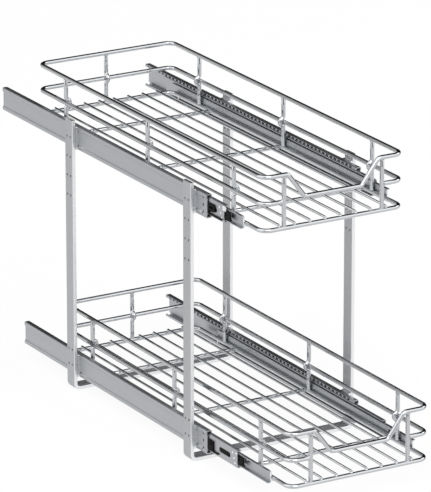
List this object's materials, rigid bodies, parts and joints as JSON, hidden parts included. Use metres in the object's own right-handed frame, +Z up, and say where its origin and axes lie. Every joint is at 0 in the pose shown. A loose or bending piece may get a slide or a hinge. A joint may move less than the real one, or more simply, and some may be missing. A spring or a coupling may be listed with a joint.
{
  "type": "pull out cabinet basket",
  "caption": "Tiered pull-out cabinet basket: narrow chrome wire baskets on full-extension ball-bearing slides, carried by two bent steel strip frames.",
  "frame": {"origin": "centre of the front frame's foot, on its underside, midway between the two foot screw holes", "axes": "+X to the right as seen from the front, +Y towards the back of the cabinet, +Z up; the baskets pull out towards -Y"},
  "size_m": [0.2258, 0.6727, 0.3877],
  "materials": {
    "chrome_wire": "polished chrome plate on round steel wire",
    "frame_steel": "bright plated flat steel strip",
    "slide_steel": "satin zinc plated sheet steel",
    "screw_steel": "zinc plated",
    "ball_steel": "polished bearing steel",
    "guide_plastic": "moulded black plastic",
    "cage_plastic": "moulded black plastic"
  },
  "bodies": {
    "frame": {"front_frame": "frame_steel", "rear_frame": "frame_steel", "upper_spacers": "frame_steel", "upper_slide_screws": "screw_steel", "upper_left_slide_outer": "slide_steel", "upper_right_slide_outer": "slide_steel", "upper_outer_guides": "guide_plastic", "lower_spacers": "frame_steel", "lower_slide_screws": "screw_steel", "lower_left_slide_outer": "slide_steel", "lower_right_slide_outer": "slide_steel", "lower_outer_guides": "guide_plastic"},
    "upper_basket": {"upper_left_slide_inner": "slide_steel", "upper_right_slide_inner": "slide_steel", "upper_rail_clips": "slide_steel", "upper_bottom_rail": "chrome_wire", "upper_middle_rail": "chrome_wire", "upper_top_rail": "chrome_wire", "upper_cross_wires": "chrome_wire", "upper_side_posts": "chrome_wire", "upper_floor_wires": "chrome_wire", "upper_front_posts": "chrome_wire", "upper_rear_post": "chrome_wire"},
    "upper_middle": {"upper_left_slide_middle": "slide_steel", "upper_right_slide_middle": "slide_steel", "upper_middle_guides": "guide_plastic"},
    "upper_outer_cage_pair": {"upper_left_outer_cage": "cage_plastic", "upper_right_outer_cage": "cage_plastic", "upper_outer_balls": "ball_steel"},
    "upper_inner_cage_pair": {"upper_left_inner_cage": "cage_plastic", "upper_right_inner_cage": "cage_plastic", "upper_inner_balls": "ball_steel"},
    "lower_basket": {"lower_left_slide_inner": "slide_steel", "lower_right_slide_inner": "slide_steel", "lower_rail_clips": "slide_steel", "lower_bottom_rail": "chrome_wire", "lower_middle_rail": "chrome_wire", "lower_top_rail": "chrome_wire", "lower_cross_wires": "chrome_wire", "lower_side_posts": "chrome_wire", "lower_floor_wires": "chrome_wire", "lower_front_posts": "chrome_wire", "lower_rear_post": "chrome_wire"},
    "lower_middle": {"lower_left_slide_middle": "slide_steel", "lower_right_slide_middle": "slide_steel", "lower_middle_guides": "guide_plastic"},
    "lower_outer_cage_pair": {"lower_left_outer_cage": "cage_plastic", "lower_right_outer_cage": "cage_plastic", "lower_outer_balls": "ball_steel"},
    "lower_inner_cage_pair": {"lower_left_inner_cage": "cage_plastic", "lower_right_inner_cage": "cage_plastic", "lower_inner_balls": "ball_steel"}
  },
  "joints": [
    {"name": "upper_basket_slide", "type": "slide", "parent": "frame", "child": "upper_basket", "axis": [0, -1, 0], "range_m": [-0.07, 0.43]},
    {"name": "upper_middle_slide", "type": "slide", "parent": "frame", "child": "upper_middle", "axis": [0, -1, 0], "range_m": [-0.035, 0.215]},
    {"name": "upper_outer_cage_slide", "type": "slide", "parent": "frame", "child": "upper_outer_cage_pair", "axis": [0, -1, 0], "range_m": [-0.0175, 0.1075]},
    {"name": "upper_inner_cage_slide", "type": "slide", "parent": "frame", "child": "upper_inner_cage_pair", "axis": [0, -1, 0], "range_m": [-0.0525, 0.3225]},
    {"name": "lower_basket_slide", "type": "slide", "parent": "frame", "child": "lower_basket", "axis": [0, -1, 0], "range_m": [-0.132, 0.318]},
    {"name": "lower_middle_slide", "type": "slide", "parent": "frame", "child": "lower_middle", "axis": [0, -1, 0], "range_m": [-0.066, 0.159]},
    {"name": "lower_outer_cage_slide", "type": "slide", "parent": "frame", "child": "lower_outer_cage_pair", "axis": [0, -1, 0], "range_m": [-0.033, 0.0795]},
    {"name": "lower_inner_cage_slide", "type": "slide", "parent": "frame", "child": "lower_inner_cage_pair", "axis": [0, -1, 0], "range_m": [-0.099, 0.2385]}
  ],
  "couplings": [
    {"joint": "upper_middle_slide", "follows": "upper_basket_slide", "ratio": 0.5},
    {"joint": "upper_outer_cage_slide", "follows": "upper_basket_slide", "ratio": 0.25},
    {"joint": "upper_inner_cage_slide", "follows": "upper_basket_slide", "ratio": 0.75},
    {"joint": "lower_middle_slide", "follows": "lower_basket_slide", "ratio": 0.5},
    {"joint": "lower_outer_cage_slide", "follows": "lower_basket_slide", "ratio": 0.25},
    {"joint": "lower_inner_cage_slide", "follows": "lower_basket_slide", "ratio": 0.75}
  ]
}
